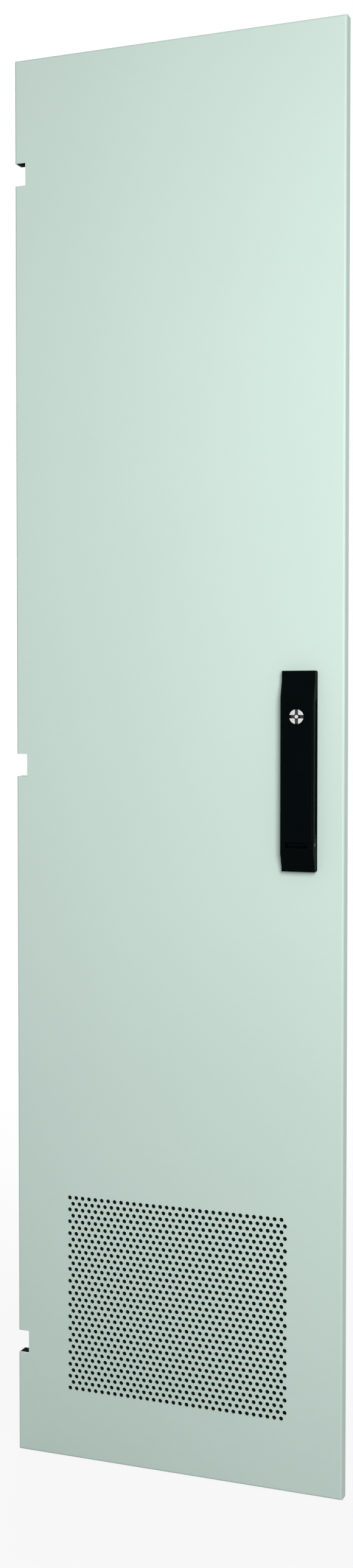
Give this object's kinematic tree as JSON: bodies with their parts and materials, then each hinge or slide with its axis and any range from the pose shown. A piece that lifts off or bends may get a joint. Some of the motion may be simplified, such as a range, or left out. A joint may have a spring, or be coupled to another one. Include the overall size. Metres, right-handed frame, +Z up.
{
  "type": "perforated rack door",
  "caption": "Tall folded sheet-steel cabinet door with a perforated vent field at the bottom, hinge notches, a lever handle and a two-rod lock.",
  "frame": {"origin": "centre of the lower hinge's two screw holes, on the back of the folded lip", "axes": "+X towards the handle side, +Y out of the door's back into the cabinet, +Z up the leaf"},
  "size_m": [0.49, 0.0569, 2],
  "materials": {
    "powder_coat": "pale green-grey fine-textured powder coat",
    "zinc_sheet": "galvanised sheet",
    "zinc_rod": "zinc-plated flat bar",
    "zinc_bolt": "bright zinc plating",
    "bright_steel": "machined steel",
    "brass_bolt": "plain brass",
    "die_cast": "satin die-cast zinc",
    "grey_casting": "raw die casting",
    "black_plastic": "fine-grained black polyamide",
    "black_rubber": "matt black rubber",
    "foam": "skinned closed-cell foam",
    "filter_fleece": "black filter fleece"
  },
  "bodies": {
    "leaf": {"door_panel": "powder_coat", "foam_seal": "foam", "upright_rail": "zinc_sheet", "cross_stiffener_1": "zinc_sheet", "cross_stiffener_2": "zinc_sheet", "cross_stiffener_3": "zinc_sheet", "filter_mat": "filter_fleece", "filter_frame": "zinc_sheet", "filter_studs": "zinc_bolt", "filter_nuts": "zinc_bolt", "earth_stud": "brass_bolt", "earth_washer": "zinc_bolt", "earth_nut": "brass_bolt", "corner_buffer_1": "black_rubber", "corner_buffer_2": "black_rubber", "handle_base": "black_plastic", "base_screw": "zinc_bolt", "base_washer": "zinc_bolt", "lock_case": "grey_casting", "case_screws": "zinc_bolt", "case_cover": "zinc_sheet", "cover_screws": "zinc_bolt", "rod_guide_1": "black_plastic", "rod_guide_2": "black_plastic", "rod_guide_3": "black_plastic", "rod_guide_4": "black_plastic", "guide_studs": "zinc_bolt", "guide_nuts": "zinc_bolt"},
    "handle": {"handle_hub": "black_plastic", "spindle": "bright_steel", "lever_pin": "bright_steel", "pinion": "bright_steel", "latch_cam": "zinc_sheet", "latch_washer": "zinc_bolt", "latch_screw": "zinc_bolt"},
    "grip": {"lever": "black_plastic", "lock_housing": "black_plastic"},
    "key_plug": {"lock_plug": "die_cast", "lock_cam": "zinc_bolt", "cam_screw": "zinc_bolt"},
    "upper_bolt": {"upper_rack": "bright_steel", "upper_rod": "zinc_rod", "upper_rivet": "bright_steel", "upper_tip": "black_plastic"},
    "lower_bolt": {"lower_rack": "bright_steel", "lower_rod": "zinc_rod", "lower_rivet": "bright_steel", "lower_tip": "black_plastic"}
  },
  "joints": [
    {"name": "handle_turn", "type": "hinge", "parent": "leaf", "child": "handle", "pos_m": [0.42, -0.024, 0.72], "axis": [0, -1, 0], "range_deg": [0, 90]},
    {"name": "grip_lift", "type": "hinge", "parent": "handle", "child": "grip", "pos_m": [0.42, -0.03, 0.737], "axis": [1, 0, 0], "range_deg": [0, 30]},
    {"name": "key_turn", "type": "hinge", "parent": "grip", "child": "key_plug", "pos_m": [0.42, -0.036, 0.91], "axis": [0, 1, 0], "range_deg": [0, 90]},
    {"name": "upper_bolt_slide", "type": "slide", "parent": "leaf", "child": "upper_bolt", "axis": [0, 0, -1], "range_m": [0, 0.01581]},
    {"name": "lower_bolt_slide", "type": "slide", "parent": "leaf", "child": "lower_bolt", "axis": [0, 0, 1], "range_m": [0, 0.01581]}
  ],
  "couplings": [
    {"joint": "upper_bolt_slide", "follows": "handle_turn", "m_per_rad": 0.01},
    {"joint": "lower_bolt_slide", "follows": "handle_turn", "m_per_rad": 0.01}
  ]
}
